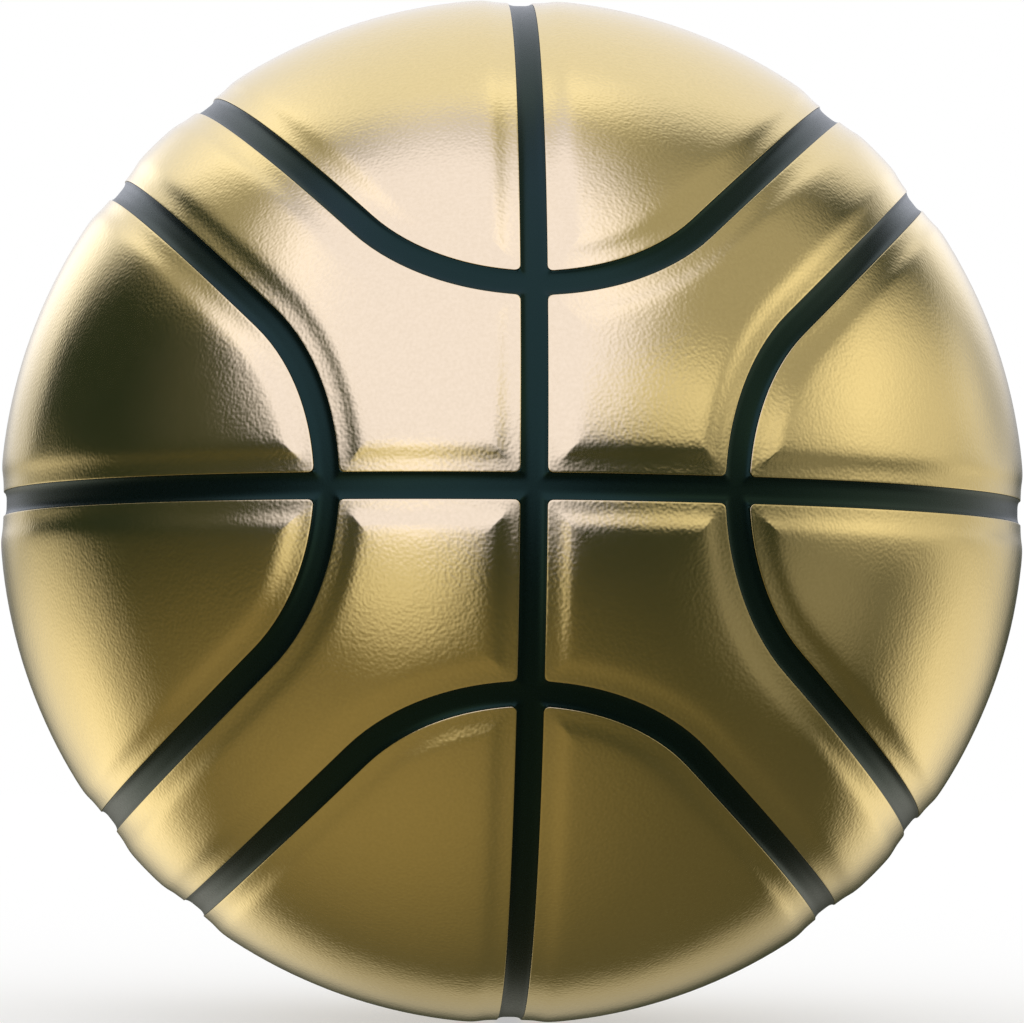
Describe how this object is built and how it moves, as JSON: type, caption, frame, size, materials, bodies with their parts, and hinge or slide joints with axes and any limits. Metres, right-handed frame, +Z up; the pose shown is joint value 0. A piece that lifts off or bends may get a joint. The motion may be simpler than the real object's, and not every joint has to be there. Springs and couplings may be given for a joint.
{
  "type": "basketball",
  "caption": "Inflated basketball: gold leather-look cover panels with pressed borders between recessed black channel seams, over a rubber carcass and bladder with a needle valve.",
  "frame": {"origin": "centre of the ball", "axes": "+Z up; the front crossing of the seams faces -Y; the flat seam lies in the XY plane and the upright seam in the YZ plane"},
  "size_m": [0.2412, 0.2404, 0.2412],
  "materials": {
    "gold_cover": "metallic gold polyurethane coat on embossed microfibre leather, satin-gloss, fine grain",
    "carcass_rubber": "moulded black rubber, satin, showing as the channel floor between the panels",
    "valve_rubber": "moulded black rubber, matt",
    "sponge_pad": "closed-cell sponge rubber, matt",
    "nylon_winding": "wound nylon thread set in latex",
    "butyl_bladder": "moulded butyl rubber, matt"
  },
  "bodies": {
    "root": {"bladder": "butyl_bladder", "valve_housing": "valve_rubber", "valve_plug": "valve_rubber", "thread_winding": "nylon_winding", "carcass": "carcass_rubber", "pad_right_upper": "sponge_pad", "pad_right_lower": "sponge_pad", "pad_left_upper": "sponge_pad", "pad_left_lower": "sponge_pad", "pad_top_right": "sponge_pad", "pad_top_left": "sponge_pad", "pad_bottom_right": "sponge_pad", "pad_bottom_left": "sponge_pad", "pad_strip_upper_right": "sponge_pad", "pad_strip_upper_left": "sponge_pad", "pad_strip_lower_right": "sponge_pad", "pad_strip_lower_left": "sponge_pad", "cover_right_upper": "gold_cover", "cover_right_lower": "gold_cover", "cover_left_upper": "gold_cover", "cover_left_lower": "gold_cover", "cover_top_right": "gold_cover", "cover_top_left": "gold_cover", "cover_bottom_right": "gold_cover", "cover_bottom_left": "gold_cover", "cover_strip_upper_right": "gold_cover", "cover_strip_upper_left": "gold_cover", "cover_strip_lower_right": "gold_cover", "cover_strip_lower_left": "gold_cover"}
  },
  "joints": []
}
